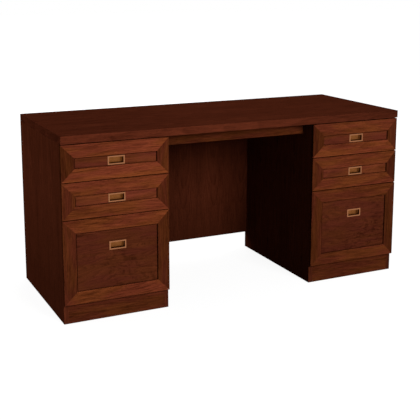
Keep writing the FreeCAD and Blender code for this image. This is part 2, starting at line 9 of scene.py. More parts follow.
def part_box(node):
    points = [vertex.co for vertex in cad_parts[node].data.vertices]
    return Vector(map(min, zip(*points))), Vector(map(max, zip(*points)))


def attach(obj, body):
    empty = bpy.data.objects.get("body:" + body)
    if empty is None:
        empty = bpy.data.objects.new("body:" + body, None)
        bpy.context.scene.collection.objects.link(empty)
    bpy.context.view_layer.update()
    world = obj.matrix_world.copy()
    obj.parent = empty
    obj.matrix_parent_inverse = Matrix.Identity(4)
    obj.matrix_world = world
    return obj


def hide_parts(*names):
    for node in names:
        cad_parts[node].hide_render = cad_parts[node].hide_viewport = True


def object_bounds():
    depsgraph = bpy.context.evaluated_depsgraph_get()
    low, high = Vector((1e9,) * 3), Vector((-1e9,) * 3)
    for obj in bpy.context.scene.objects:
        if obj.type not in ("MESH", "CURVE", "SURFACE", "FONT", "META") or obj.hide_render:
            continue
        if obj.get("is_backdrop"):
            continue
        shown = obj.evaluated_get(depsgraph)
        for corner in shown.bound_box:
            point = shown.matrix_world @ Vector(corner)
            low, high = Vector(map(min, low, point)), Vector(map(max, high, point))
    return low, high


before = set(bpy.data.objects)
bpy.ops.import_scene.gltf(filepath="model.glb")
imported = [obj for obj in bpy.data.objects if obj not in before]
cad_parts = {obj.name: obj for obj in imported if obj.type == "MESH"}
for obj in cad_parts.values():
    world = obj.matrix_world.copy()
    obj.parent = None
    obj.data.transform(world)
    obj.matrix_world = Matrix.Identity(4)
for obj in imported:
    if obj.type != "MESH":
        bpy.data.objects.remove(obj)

# The finish of a double-pedestal writing desk.
#
# Every board is a solid of the construction with its edges eased and its own piece of timber or
# veneer: a "grain" attribute gives each corner's place along, across and through that timber, and
# a "tone" attribute says how light the board is, from its own tone and end grain and from painted
# light and shade. Metal parts keep their construction solids, apart from the brass pulls, whose
# sharp edges are eased. The screws of the slides and of the drawer fronts are made here. All lengths
# are in metres.

# Where the sizes of the construction are needed again
SLIDE_METAL = 0.0012
SLIDE_SPACE = 0.0127
BOX_WALL = 0.012
PULL_FLANGE = 0.002

# Easing of edges
BOARD_EASING = 0.0005
FRAME_EASING = 0.0004
JOINT_EASING = 0.0002
SLAB_EASING = 0.0015
PULL_EASING = 0.0004
EASING_STEPS = 2
SLAB_EASING_STEPS = 4
PULL_EASING_STEPS = 3
FLANGE_FACE_SHARE = 0.6
SHARP_ANGLE = math.radians(24)
COPLANAR_ANGLE = math.radians(0.3)
PLACE_DIGITS = 6

# How far a face's normal has to point a way for the face to count as looking that way, as cut
# across the grain, or as the narrow edge of a front
LOOKING = 0.5
CUT_ACROSS = 0.7
EDGE_ON = 0.1

# How a board lies in its tree
HEART_DEPTH_RANGE = (0.035, 0.075)
HEART_ASIDE = 0.03
TREE_TAPER = 0.05
TREE_LEAN = 0.02
ALONG_TREE = 20.0
TONE_SPREAD = 0.09

# Colours, as the stain and the metals show them in plain light. The lightest grain of a timber is
# its colour times the share in LIGHT_GRAIN, which stays under 1 to keep its hue
RAIL_STAIN = (0.140, 0.0315, 0.0106)
PANEL_STAIN = (0.101, 0.0222, 0.0088)
TOP_STAIN = (0.069, 0.0142, 0.0060)
SIDE_STAIN = (0.071, 0.0152, 0.0062)
MAPLE = (0.54, 0.335, 0.175)
PINE = (0.47, 0.30, 0.155)
BRASS = (0.335, 0.138, 0.063)
CUP_BRASS = (0.21, 0.072, 0.0145)
# The darkest brass, for spots of tarnish and for painted shade in the cups
TARNISH_AND_SHADE = (0.11, 0.034, 0.006)
ZINC = (0.56, 0.57, 0.58)
ALUMINIUM = (0.72, 0.72, 0.73)

# How light the boards are, beside their timber's colour. END_GRAIN_TONE is the end grain's own; the
# tones said below to be painted are painted light and shade. A sweep is a pair of tones at the left
# and right end of a face, a rise a pair at its foot and head, and a depth a pair at its front and rear
END_GRAIN_TONE = 0.66
SLAB_END_TONE = 0.8
# Painted light: the slab's front and rear edges lighter at the left end, where more light falls, than at the
# right
SLAB_EDGE_LIGHT_SWEEP = (1.62, 0.85)
# Painted shade: the sides darker towards the floor
SIDE_SHADE_RISE = (0.72, 1.03)
# Painted light: the front and rear edges of the sides lit lighter, more so on the left pedestal
SIDE_EDGE_LIGHT_TONES = {"left": 1.30, "right": 1.08}
# Painted light: the sides' faces in the kneehole lighter towards the rear
KNEEHOLE_LIGHT_DEPTH = (0.95, 1.40)
# Painted shade: the modesty panel darker in the kneehole, its front face lightened towards the right and the
# head with painted light
MODESTY_SHADE_TONE = 0.70
MODESTY_LIGHT_SWEEP = (0.85, 1.32)
MODESTY_LIGHT_RISE = (0.88, 1.60)
# Painted shade: the kick boards darker under the drawers, the right one more, where less light falls
KICK_SHADE_TONES = {"left": 0.70, "right": 0.58}
# Painted shade: the divider rails nearly black, as the shade in the gaps between the drawers
DIVIDER_SHADE_TONE = 0.15
# Painted shade: the front faces of the top rails nearly black, as the shade in the gaps behind the drawers
TOP_RAIL_FACE_SHADE_TONE = 0.08
# Painted shade: the centre drawer's front darker under the top's overhang, lightened towards its head with
# painted light
CENTRE_SHADE_SWEEP = (0.58, 0.74)
CENTRE_LIGHT_RISE = (0.95, 1.5)
# The rails, and the panels of all but the file drawers, lighter towards the right end of each front
RAIL_SWEEP = (0.88, 1.05)
PANEL_SWEEP = (0.86, 1.14)
# Painted shade: the narrow edges of the fronts' members darker, in the gaps between the fronts
FRONT_EDGE_SHADE_TONE = 0.45
# Each front's bottom rail, left stile, top rail and right stile, then its panel. The stiles are
# darker partly for their upright grain and partly with painted shade on their slopes, and the right
# pedestal's fronts are darker with painted shade, as less light falls there
MEMBER_GRAIN_AND_SHADE_TONES = {
    "left_upper": (1.30, 0.56, 1.20, 0.69, 0.98),
    "left_lower": (1.16, 0.70, 1.11, 0.69, 1.24),
    "left_file": (1.32, 0.60, 1.26, 0.52, 0.86),
    "right_upper": (1.04, 0.52, 0.82, 0.52, 0.88),
    "right_lower": (0.93, 0.62, 0.90, 0.50, 1.08),
    "right_file": (0.77, 0.56, 0.71, 0.50, 0.78),
}

SIDES = ("left", "right")
LEVELS = ("upper", "lower", "file")
DRAWERS = [side + "_" + level for side in SIDES for level in LEVELS]
ALONG_X, ALONG_Z = 0, 2


# Shader node trees

class Finish:
    """The node tree of one material, with short ways to add nodes to it."""

    MIX_A, MIX_B, MIX_RESULT = 6, 7, 2

    def __init__(self, name):
        self.material = bpy.data.materials.new(name)
        self.material.use_nodes = True
        self.tree = self.material.node_tree
        self.surface = self.tree.nodes["Principled BSDF"]

    def add(self, kind, **settings):
        node = self.tree.nodes.new(kind)
        for key, value in settings.items():
            setattr(node, key, value)
        return node

    def feed(self, socket, value):
        if isinstance(value, bpy.types.NodeSocket):
            self.tree.links.new(value, socket)
        else:
            socket.default_value = value

    def set(self, name, value):
        """Sets or links one socket of the surface shader."""
        self.feed(self.surface.inputs[name], value)

    def attribute(self, name, output):
        return self.add("ShaderNodeAttribute", attribute_name=name).outputs[output]

    def object_place(self):
        return self.add("ShaderNodeTexCoord").outputs["Object"]

    def math(self, operation, *values, clamp=False):
        node = self.add("ShaderNodeMath", operation=operation, use_clamp=clamp)
        for socket, value in zip(node.inputs, values):
            self.feed(socket, value)
        return node.outputs["Value"]

    def vector(self, operation, *values, output="Vector"):
        node = self.add("ShaderNodeVectorMath", operation=operation)
        for socket, value in zip(node.inputs, values):
            self.feed(socket, value)
        return node.outputs[output]

    def scaled(self, vector, factor):
        node = self.add("ShaderNodeVectorMath", operation="SCALE")
        self.feed(node.inputs["Vector"], vector)
        self.feed(node.inputs["Scale"], factor)
        return node.outputs["Vector"]

    def split(self, vector):
        node = self.add("ShaderNodeSeparateXYZ")
        self.feed(node.inputs[0], vector)
        return node.outputs

    def join(self, x, y, z):
        node = self.add("ShaderNodeCombineXYZ")
        for socket, value in zip(node.inputs, (x, y, z)):
            self.feed(socket, value)
        return node.outputs[0]

    def noise(self, place, stretch, detail=2.0, roughness=0.5, output=0):
        """Noise whose grains are 1 / stretch long each way."""
        node = self.add("ShaderNodeTexNoise")
        self.feed(node.inputs["Vector"], self.vector("MULTIPLY", place, stretch))
        node.inputs["Scale"].default_value = 1.0
        node.inputs["Detail"].default_value = detail
        node.inputs["Roughness"].default_value = roughness
        return node.outputs[output]

    def ranged(self, value, low, high, to_low, to_high, smooth=False):
        """A value carried over from one range to another, and held at its ends."""
        node = self.add("ShaderNodeMapRange", interpolation_type="SMOOTHSTEP" if smooth else "LINEAR")
        for socket, part in zip(node.inputs, (value, low, high, to_low, to_high)):
            self.feed(socket, part)
        return node.outputs[0]

    def mixed(self, share, first, second):
        node = self.add("ShaderNodeMix", data_type="RGBA")
        self.feed(node.inputs["Factor"], share)
        self.feed(node.inputs[self.MIX_A], first)
        self.feed(node.inputs[self.MIX_B], second)
        return node.outputs[self.MIX_RESULT]

    def bump(self, height, distance, strength):
        node = self.add("ShaderNodeBump")
        node.inputs["Strength"].default_value = strength
        node.inputs["Distance"].default_value = distance
        self.feed(node.inputs["Height"], height)
        self.set("Normal", node.outputs["Normal"])


def shade(colour, share, warmth=1.0):
    """A colour made lighter or darker. Warmth above 1 keeps more red than blue."""
    red, green, blue = (min(1.0, part * share) for part in colour)
    return red, green / warmth, blue / warmth ** 2, 1.0


NOISE_MIDDLE = 0.5
NOISE_SPAN = (0.3, 0.7)

# The figure of timber. A pitch is how often the noise turns in a metre along, across and through
# the grain, and a span is the stretch of the noise that counts
STRAY_PITCH = (1.3, 7.0, 7.0)
STRAY_REACH = 4
UNEVEN_PITCH = (0.6, 3.0, 3.0)
UNEVEN_YEARS = 2.2
LATE_POWER = 2.4
LATE_SPAN = (0.93, 1.0)
CLOUD_PITCH = (1.6, 7.0, 7.0)
RIBBON_PITCH = (2.6, 70.0, 70.0)
STREAK_PITCH = (11.0, 240.0, 240.0)
FIBRE_PITCH = (16.0, 900.0, 900.0)
PORE_PITCH = (42.0, 1500.0, 1500.0)
PORE_SPAN = (0.60, 0.70)
CURL_PITCH = (38.0, 62.0, 62.0)
CURL_SPAN = (0.50, 0.62)
KNOT_PITCH = (5.0, 9.0, 9.0)
KNOT_SPAN = (0.45, 0.60)
KNOT_LEAST = 0.15
AMBER_PITCH = (5.0, 26.0, 26.0)
AMBER_SPAN = (0.35, 0.65)

# How much each part of the figure counts. The darkest and the lightest grain are a share of the
# timber's colour and a warmth
PLAIN_SHARE = 0.42
RING_LIFT = 0.28
RIBBON_WEIGHT = 0.6
STREAK_WEIGHT = 1.1
FIBRE_WEIGHT = 0.3
DARK_GRAIN = (0.38, 1.08)
LIGHT_GRAIN = (1.85, 0.97)
FIBRE_RELIEF = 0.5
LATE_RELIEF = 0.25
WOOD_ROUGHNESS_SPREAD = (-0.05, 0.08)


def wood(name, colour, ring=0.0045, ring_share=0.3, wander=0.010, swirl=1.0, streak_share=1.0,
         cloud_share=0.55, pore_share=0.35, amber=0.0, blotch=0.0, leaf=0.0, gloss=0.0, roughness=0.46):
    """Timber or veneer, coloured by its place in the tree.

    ring is the width of a year's growth, wander how far the rings stray and swirl how fast they
    turn. amber is how much redder and yellower stretches alternate, and blotch how dark the knots
    of curly figure are. Where leaf is given, the figure is book-matched in leaves of that width,
    as veneer is laid.
    """
    finish = Finish(name)
    place = finish.attribute("grain", "Vector")
    if leaf:
        along, across, through = finish.split(place)
        folded = finish.math("PINGPONG", finish.math("ADD", across, leaf / 2), leaf)
        place = finish.join(along, finish.math("SUBTRACT", folded, leaf / 2), through)

    swirling = [part * swirl for part in STRAY_PITCH]
    stray = finish.noise(place, swirling, detail=2.0, output=1)
    stray = finish.vector("SUBTRACT", stray, (NOISE_MIDDLE, NOISE_MIDDLE, NOISE_MIDDLE))
    stray = finish.vector("MULTIPLY", stray, (0.0, wander * STRAY_REACH, wander * STRAY_REACH))
    bent = finish.vector("ADD", place, stray)
    radius = finish.vector("LENGTH", finish.vector("MULTIPLY", bent, (0.0, 1.0, 1.0)), output="Value")
    uneven = finish.math("MULTIPLY", finish.noise(place, UNEVEN_PITCH, detail=1.0), UNEVEN_YEARS)
    year = finish.math("FRACT", finish.math("ADD", finish.math("DIVIDE", radius, ring), uneven))
    late = finish.math("MULTIPLY", finish.math("POWER", year, LATE_POWER),
                       finish.ranged(year, *LATE_SPAN, 1.0, 0.0, smooth=True))

    cloud = finish.noise(place, CLOUD_PITCH, detail=2.0)
    ribbon = finish.noise(bent, RIBBON_PITCH, detail=3.0, roughness=0.6)
    streak = finish.noise(bent, STREAK_PITCH, detail=3.0, roughness=0.65)
    fibre = finish.noise(place, FIBRE_PITCH, detail=2.0, roughness=0.6)
    dash = finish.noise(bent, PORE_PITCH, detail=0.0)
    early = finish.math("SUBTRACT", 1.0, late)
    pores = finish.math("MULTIPLY", finish.ranged(dash, *PORE_SPAN, 0.0, 1.0), early)

    share = PLAIN_SHARE + RING_LIFT * ring_share
    parts = ((late, 0.0, -ring_share), (cloud, NOISE_MIDDLE, cloud_share),
             (ribbon, NOISE_MIDDLE, RIBBON_WEIGHT * streak_share),
             (streak, NOISE_MIDDLE, STREAK_WEIGHT * streak_share), (fibre, NOISE_MIDDLE, FIBRE_WEIGHT))
    for part, middle, weight in parts:
        share = finish.math("MULTIPLY_ADD", finish.math("SUBTRACT", part, middle), weight, share)
    if blotch:
        curly = finish.noise(bent, CURL_PITCH, detail=2.0, roughness=0.6)
        where = finish.noise(place, KNOT_PITCH, detail=1.0)
        knots = finish.math("MULTIPLY", finish.ranged(curly, *CURL_SPAN, 0.0, 1.0, smooth=True),
                            finish.ranged(where, *KNOT_SPAN, KNOT_LEAST, 1.0, smooth=True))
        share = finish.math("MULTIPLY_ADD", knots, -blotch, share)
    share = finish.math("SUBTRACT", share, finish.math("MULTIPLY", pores, pore_share), clamp=True)
    colours = finish.mixed(share, shade(colour, *DARK_GRAIN), shade(colour, *LIGHT_GRAIN))
    if amber:
        patches = finish.noise(place, AMBER_PITCH, detail=2.0)
        redder = (1.0, 1.0 - amber, 1.0 + amber, 1.0)
        yellower = (1.0 + amber / 3, 1.0 + amber, 1.0 - amber, 1.0)
        tint = finish.mixed(finish.ranged(patches, *AMBER_SPAN, 0.0, 1.0, smooth=True), redder, yellower)
        colours = finish.vector("MULTIPLY", colours, tint)
    # The tone holds each board's own lightness together with its painted light and shade
    finish.set("Base Color", finish.scaled(colours, finish.attribute("tone", "Fac")))

    rough = (roughness + spread for spread in WOOD_ROUGHNESS_SPREAD)
    finish.set("Roughness", finish.ranged(fibre, *NOISE_SPAN, *rough))
    finish.set("Specular IOR Level", gloss)
    ridges = finish.math("MULTIPLY_ADD", fibre, FIBRE_RELIEF, finish.math("MULTIPLY", late, LATE_RELIEF))
    finish.bump(finish.math("SUBTRACT", ridges, pores), distance=0.00012, strength=0.35)
    return finish.material


# The brass pulls. A place in a pull's recess runs from -1 to 1 across and up, and from 0 at the
# flange's face to 1 at the rear
BRUSHED_PITCH = (90.0, 900.0, 2600.0)
MOTTLED_PITCH = (160.0, 160.0, 420.0)
CUP_SPAN = (0.12, 0.22)
# Painted shade along the bottom and the right of each cup, where the light falls least
CUP_SHADE_BOTTOM_SPAN = (-0.35, -0.65)
CUP_SHADE_RIGHT_SPAN = (0.40, 0.75)
FLANGE_AGE, CUP_AGE, SPOT_AGE = 0.1, 0.75, 0.6
CUP_SHADE_SHARE, SPOT_TARNISH = 0.9, 0.5
BRASS_LIFT = 1.05
BRASS_ROUGHNESS = (0.30, 0.42)
CUP_ROUGHNESS = 0.12


def brass():
    """Satin brass, tarnished in its cup, with painted shade along the bottom and right of the cup."""
    finish = Finish("satin_brass")
    place = finish.object_place()
    brushed = finish.noise(place, BRUSHED_PITCH, detail=2.0)
    mottled = finish.noise(place, MOTTLED_PITCH, detail=3.0, roughness=0.6)
    sideways, depth, height = finish.split(finish.attribute("recess", "Vector"))
    inside = finish.ranged(depth, *CUP_SPAN, 0.0, 1.0)
    # Painted shade along the bottom and the right of the cup
    low = finish.ranged(height, *CUP_SHADE_BOTTOM_SPAN, 0.0, 1.0, smooth=True)
    far = finish.ranged(sideways, *CUP_SHADE_RIGHT_SPAN, 0.0, 1.0, smooth=True)
    painted_cup_shade = finish.math("MULTIPLY", inside, finish.math("MAXIMUM", low, far))
    spotted = finish.math("SUBTRACT", mottled, NOISE_MIDDLE)
    aged = finish.math("MULTIPLY_ADD", spotted, SPOT_AGE,
                       finish.math("MULTIPLY_ADD", inside, CUP_AGE, FLANGE_AGE), clamp=True)
    # Spots of tarnish, and the painted shade in the cup
    dark = finish.math("MULTIPLY_ADD", spotted, SPOT_TARNISH,
                       finish.math("MULTIPLY", painted_cup_shade, CUP_SHADE_SHARE), clamp=True)
    golden = finish.mixed(aged, shade(BRASS, BRASS_LIFT), shade(CUP_BRASS, 1.0))
    finish.set("Base Color", finish.mixed(dark, golden, shade(TARNISH_AND_SHADE, 1.0)))
    finish.set("Metallic", 1.0)
    satin = finish.ranged(mottled, *NOISE_SPAN, *BRASS_ROUGHNESS)
    finish.set("Roughness", finish.math("MULTIPLY_ADD", inside, CUP_ROUGHNESS, satin))
    finish.bump(brushed, distance=0.00003, strength=0.25)
    return finish.material


PLATING_CLOUD_PITCH = (60.0, 60.0, 60.0)
PLATING_SHADES = (0.82, 1.1)
PLATING_ROUGHNESS_SPREAD = (-0.06, 0.08)


def plated_metal(name, colour, streaks, roughness):
    """Zinc-plated steel or mill aluminium, with faint rolling marks and clouds."""
    finish = Finish(name)
    place = finish.object_place()
    rolled = finish.noise(place, streaks, detail=2.0)
    cloudy = finish.noise(place, PLATING_CLOUD_PITCH, detail=3.0)
    finish.set("Base Color", finish.mixed(cloudy, *(shade(colour, share) for share in PLATING_SHADES)))
    finish.set("Metallic", 1.0)
    rough = (roughness + spread for spread in PLATING_ROUGHNESS_SPREAD)
    finish.set("Roughness", finish.ranged(rolled, *NOISE_SPAN, *rough))
    finish.bump(rolled, distance=0.00004, strength=0.3)
    return finish.material


MATERIALS = {
    "top": wood("stained_top_veneer", TOP_STAIN, ring=0.007, ring_share=0.24, leaf=0.2134, streak_share=0.8),
    "side": wood("stained_side_veneer", SIDE_STAIN, ring=0.006, ring_share=0.24, leaf=0.16, streak_share=0.7),
    "front": wood("stained_front_timber", RAIL_STAIN, ring=0.006, ring_share=0.20, wander=0.007,
                  streak_share=1.05, cloud_share=0.45, amber=0.10),
    "panel": wood("stained_panel_veneer", PANEL_STAIN, ring=0.011, ring_share=0.24, wander=0.012,
                  streak_share=1.0, cloud_share=0.5, amber=0.10),
    "file_panel": wood("stained_flame_veneer", PANEL_STAIN, ring=0.013, ring_share=0.26, wander=0.030,
                       swirl=2.4, streak_share=0.55, amber=0.08, blotch=0.20),
    "maple": wood("clear_lacquered_maple", MAPLE, ring=0.004, ring_share=0.10, pore_share=0.10,
                  streak_share=0.3, cloud_share=0.2, gloss=0.15, roughness=0.42),
    "pine": wood("plain_sanded_softwood", PINE, ring=0.0035, ring_share=0.30, pore_share=0.05,
                 streak_share=0.4, cloud_share=0.3, gloss=0.15, roughness=0.6),
    "brass": brass(),
    "slide": plated_metal("zinc_plated_slides", ZINC, streaks=(900.0, 6.0, 900.0), roughness=0.34),
    "zinc": plated_metal("zinc_plated_fixings", ZINC, streaks=(400.0, 400.0, 400.0), roughness=0.36),
    "aluminium": plated_metal("mill_aluminium", ALUMINIUM, streaks=(900.0, 4.0, 900.0), roughness=0.32),
}


# Solids of the construction

def closed_solids(node):
    """Each closed solid in a node, as the corner places of its triangles.

    The triangles of one solid follow each other, so a solid ends where no edge is left open.
    """
    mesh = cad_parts[node].data
    corners = [tuple(round(part, PLACE_DIGITS) for part in vertex.co) for vertex in mesh.vertices]
    solids, triangles, open_edges = [], [], set()
    for polygon in mesh.polygons:
        places = [corners[index] for index in polygon.vertices]
        triangles.append(places)
        for start, end in zip(places, places[1:] + places[:1]):
            if (end, start) in open_edges:
                open_edges.discard((end, start))
            else:
                open_edges.add((start, end))
        if not open_edges:
            solids.append(triangles)
            triangles = []
    return solids


def merged(triangles):
    """A mesh of whole flat faces from a solid's triangles."""
    solid = bmesh.new()
    known = {}
    for places in triangles:
        for place in places:
            if place not in known:
                known[place] = solid.verts.new(place)
        if len(set(places)) == 3:
            solid.faces.new([known[place] for place in places])
    bmesh.ops.dissolve_limit(solid, angle_limit=COPLANAR_ANGLE, verts=solid.verts, edges=solid.edges)
    return solid


def slab_between(low, high):
    """A plain box as a mesh."""
    solid = bmesh.new()
    bmesh.ops.create_cube(solid, size=1.0)
    for vertex in solid.verts:
        vertex.co = Vector([(low[i] + high[i]) / 2 + vertex.co[i] * (high[i] - low[i]) for i in range(3)])
    return solid


def ease_edges(solid, width, steps, chosen=None):
    """Rounds the sharp edges of a mesh a little, or only those that are chosen."""
    edges = [edge for edge in solid.edges if edge.is_manifold and edge.calc_face_angle() > SHARP_ANGLE]
    if chosen:
        edges = [edge for edge in edges if chosen(edge)]
    bmesh.ops.bevel(solid, geom=edges, offset=width, segments=steps, profile=0.5, affect="EDGES",
                    clamp_overlap=True)


def corners_box(solid):
    """The lowest and highest corner of a mesh."""
    places = [vertex.co for vertex in solid.verts]
    return (Vector([min(place[i] for place in places) for i in range(3)]),
            Vector([max(place[i] for place in places) for i in range(3)]))


def between(ends, low, high, place):
    """A value that changes evenly from one end of a stretch to the other."""
    first, last = ends
    return first + (last - first) * (place - low) / (high - low)


def lay_grain(solid, board, grain_axis, veneered, tone):
    """Gives every corner of a board its place in a tree of its own, and the board its tone.

    A solid board is cut from the tree whole, so that its ends show darker end grain. A veneered
    board carries veneer on every face, and on its ends that veneer runs along the edge. tone is a
    function of a corner's place and of its face's normal.
    """
    chance = random.Random(board)
    low, high = corners_box(solid)
    middle, size = (low + high) / 2, high - low
    if grain_axis is None:
        grain_axis = max(range(3), key=lambda axis: size[axis])
    thin_axis = min((axis for axis in range(3) if axis != grain_axis), key=lambda axis: size[axis])
    heart = chance.uniform(*HEART_DEPTH_RANGE) * chance.choice((-1, 1))
    aside = chance.uniform(-HEART_ASIDE, HEART_ASIDE)
    taper = chance.uniform(TREE_TAPER / 2, TREE_TAPER) * chance.choice((-1, 1))
    lean = chance.uniform(-TREE_LEAN, TREE_LEAN)
    start = chance.uniform(0, ALONG_TREE)

    grain = solid.loops.layers.float_vector.new("grain")
    tones = solid.loops.layers.float.new("tone")
    board_tone = 1 + chance.uniform(-TONE_SPREAD, TONE_SPREAD)
    for face in solid.faces:
        along, through = grain_axis, thin_axis
        if veneered:
            through = max(range(3), key=lambda axis: abs(face.normal[axis]))
            if through == along:
                along = max((axis for axis in range(3) if axis != through), key=lambda axis: size[axis])
        across = 3 - along - through
        end_grain = not veneered and abs(face.normal[along]) > CUT_ACROSS
        cut = END_GRAIN_TONE if end_grain else 1.0
        for loop in face.loops:
            loop[tones] = board_tone * cut * tone(loop.vert.co, face.normal)
            place = loop.vert.co - middle
            u = place[along]
            depth = 0.0 if veneered else place[through]
            loop[grain] = Vector((u + start, place[across] + aside + lean * u,
                                  depth + heart + taper * u))


def finished_piece(name, solids, material, body):
    """One object from several board meshes, riding on its body."""
    whole = bpy.data.meshes.new(name)
    joined = bmesh.new()
    for solid in solids:
        part = bpy.data.meshes.new(name + "_part")
        solid.to_mesh(part)
        joined.from_mesh(part)
        bpy.data.meshes.remove(part)
        solid.free()
    joined.to_mesh(whole)
    joined.free()
    whole.materials.append(MATERIALS[material])
    piece = bpy.data.objects.new(name, whole)
    bpy.context.scene.collection.objects.link(piece)
    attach(piece, body)
    return piece


def boards(node, name, material, body, slot, easing=BOARD_EASING, grain_axis=None, veneered=False,
           tone=1.0):
    """The boards of a node, eased and given their timber.

    tone is a number, or a function of a board's number, a corner's place and its face's normal.
    """
    given = tone if callable(tone) else (lambda number, place, normal: tone)
    solids = []
    for number, triangles in enumerate(closed_solids(node)):
        solid = merged(triangles)
        ease_edges(solid, easing, EASING_STEPS)
        lay_grain(solid, f"{node} {number}", grain_axis, veneered,
                  lambda place, normal: given(number, place, normal))
        solids.append(solid)
    piece = finished_piece(name, solids, material, body)
    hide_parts(node)
    return piece


# The desk's own pieces

UPRIGHT_VENEER = {"material": "side", "body": "carcass", "slot": "side_wood", "grain_axis": ALONG_Z,
                  "veneered": True}
FRONT_BOARDS = {"material": "front", "body": "carcass", "slot": "front_wood"}
INNER_BOARDS = {"material": "pine", "body": "carcass", "slot": "inner_wood"}


def desktop_slab():
    """The top: veneered on both faces and edged all round, with its arris just taken off."""
    low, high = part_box("desktop")
    solid = slab_between(low, high)
    ease_edges(solid, SLAB_EASING, SLAB_EASING_STEPS)

    # Painted light along the front and rear edges, falling off from the left end to the right
    def slab_tone(place, normal):
        if abs(normal.y) > LOOKING:
            return between(SLAB_EDGE_LIGHT_SWEEP, low.x, high.x, place.x)
        return SLAB_END_TONE if abs(normal.x) > LOOKING else 1.0

    lay_grain(solid, "desktop", ALONG_X, True, slab_tone)
    piece = finished_piece("desktop_slab", [solid], "top", "carcass")
    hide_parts("desktop")


def carcass_boards():
    foot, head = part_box("left_outer_side")
    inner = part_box("right_inner_side")[1]

    for side in SIDES:
        # Painted light on the sides' edges and towards the rear of the kneehole, and painted shade towards
        # the floor
        def side_tone(number, place, normal):
            if abs(normal.y) > LOOKING:
                return SIDE_EDGE_LIGHT_TONES[side]
            in_kneehole = abs(place.x) < inner.x and place.x * normal.x < 0
            depth = between(KNEEHOLE_LIGHT_DEPTH, foot.y, head.y, place.y) if in_kneehole else 1.0
            return depth * between(SIDE_SHADE_RISE, foot.z, head.z, place.z)

        for place in ("outer", "inner"):
            node = f"{side}_{place}_side"
            boards(node, node + "_board", tone=side_tone, **UPRIGHT_VENEER)

    low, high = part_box("modesty_panel")

    # Painted shade all over, with painted light towards the head and the right of the front face
    def modesty_tone(number, place, normal):
        if normal.y > -LOOKING:
            return MODESTY_SHADE_TONE
        rise = between(MODESTY_LIGHT_RISE, low.z, high.z, place.z)
        return MODESTY_SHADE_TONE * rise * between(MODESTY_LIGHT_SWEEP, low.x, high.x, place.x)

    boards("modesty_panel", "modesty_board", tone=modesty_tone, **UPRIGHT_VENEER)
    boards("pedestal_backs", "pedestal_back_boards", **UPRIGHT_VENEER)
    boards("kick_boards", "kick_board_pair", grain_axis=ALONG_X, veneered=True,
           tone=lambda number, place, normal: KICK_SHADE_TONES["left" if place.x < 0 else "right"],
           **FRONT_BOARDS)
    boards("divider_rails", "divider_rail_set", tone=DIVIDER_SHADE_TONE, **FRONT_BOARDS)
    boards("pedestal_bottoms", "pedestal_bottom_boards", grain_axis=ALONG_X, **INNER_BOARDS)
    # Painted shade on the top rails' front faces
    boards("top_rails", "top_rail_set", easing=JOINT_EASING,
           tone=lambda number, place, normal: TOP_RAIL_FACE_SHADE_TONE if normal.y < -LOOKING else 1.0,
           **INNER_BOARDS)
    boards("corner_blocks", "corner_block_set", easing=JOINT_EASING, grain_axis=ALONG_Z, **INNER_BOARDS)


def drawer_front(drawer):
    """The mitred frame round its sunk panel, with painted shade on the narrow edges of its members."""
    body = drawer + "_drawer"
    is_file = drawer.endswith("_file")
    low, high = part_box(drawer + "_front_frame")
    *member_tones, plain_panel_tone = MEMBER_GRAIN_AND_SHADE_TONES[drawer]

    def member_tone(number, place, normal):
        is_stile = number % 2 == 1
        sweep = 1.0 if is_stile else between(RAIL_SWEEP, low.x, high.x, place.x)
        # Painted shade on the narrow edges, which lie in the gaps between the fronts
        edge = FRONT_EDGE_SHADE_TONE if abs(normal.y) < EDGE_ON else 1.0
        return member_tones[number] * sweep * edge

    def panel_tone(number, place, normal):
        return plain_panel_tone * (1.0 if is_file else between(PANEL_SWEEP, low.x, high.x, place.x))

    boards(drawer + "_front_frame", drawer + "_mitred_frame", "front", body, "front_wood",
           easing=FRAME_EASING, tone=member_tone)
    boards(drawer + "_front_panel", drawer + "_sunk_panel", "file_panel" if is_file else "panel", body,
           "panel_wood", easing=JOINT_EASING, grain_axis=ALONG_X, veneered=True, tone=panel_tone)


def drawer_pull(drawer):
    """The brass cup pull, with the edges of its flange and mouth eased."""
    node = drawer + "_pull"
    low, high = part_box(node)
    solid = merged(closed_solids(node)[0])
    middle, half = (low + high) / 2, (high - low) / 2
    face_depth = low.y + PULL_FLANGE * FLANGE_FACE_SHARE

    def on_flange_face(edge):
        return all(vertex.co.y < face_depth for vertex in edge.verts)

    ease_edges(solid, PULL_EASING, PULL_EASING_STEPS, on_flange_face)
    recess = solid.loops.layers.float_vector.new("recess")
    for face in solid.faces:
        face.smooth = True
        for loop in face.loops:
            place = loop.vert.co
            loop[recess] = Vector(((place.x - middle.x) / half.x,
                                   (place.y - low.y) / (high.y - low.y),
                                   (place.z - middle.z) / half.z))
    piece = finished_piece(drawer + "_cup_pull", [solid], "brass", drawer + "_drawer")
    piece.data.set_sharp_from_angle(angle=SHARP_ANGLE)
    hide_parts(node)


def drawer_box(name, body):
    """The walls, with each board's end grain at its tails and pins, and the bottom sheet."""
    timber = {"material": "maple", "body": body, "slot": "box_wood", "easing": JOINT_EASING}
    boards(name + "_box_walls", name + "_dovetailed_walls", **timber)
    boards(name + "_bottom", name + "_bottom_sheet", grain_axis=ALONG_X, **timber)


def centre_drawer():
    """The shallow drawer over the kneehole, whose front is one board with a lip along its foot."""
    low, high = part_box("centre_front")

    # Painted shade under the overhang, with painted light towards the head of the front face
    def centre_tone(number, place, normal):
        rise = between(CENTRE_LIGHT_RISE, low.z, high.z, place.z) if normal.y < -LOOKING else 1.0
        return rise * between(CENTRE_SHADE_SWEEP, low.x, high.x, place.x)

    boards("centre_front", "centre_front_board", "front", "centre_drawer", "front_wood",
           easing=JOINT_EASING, tone=centre_tone)
    drawer_box("centre", "centre_drawer")


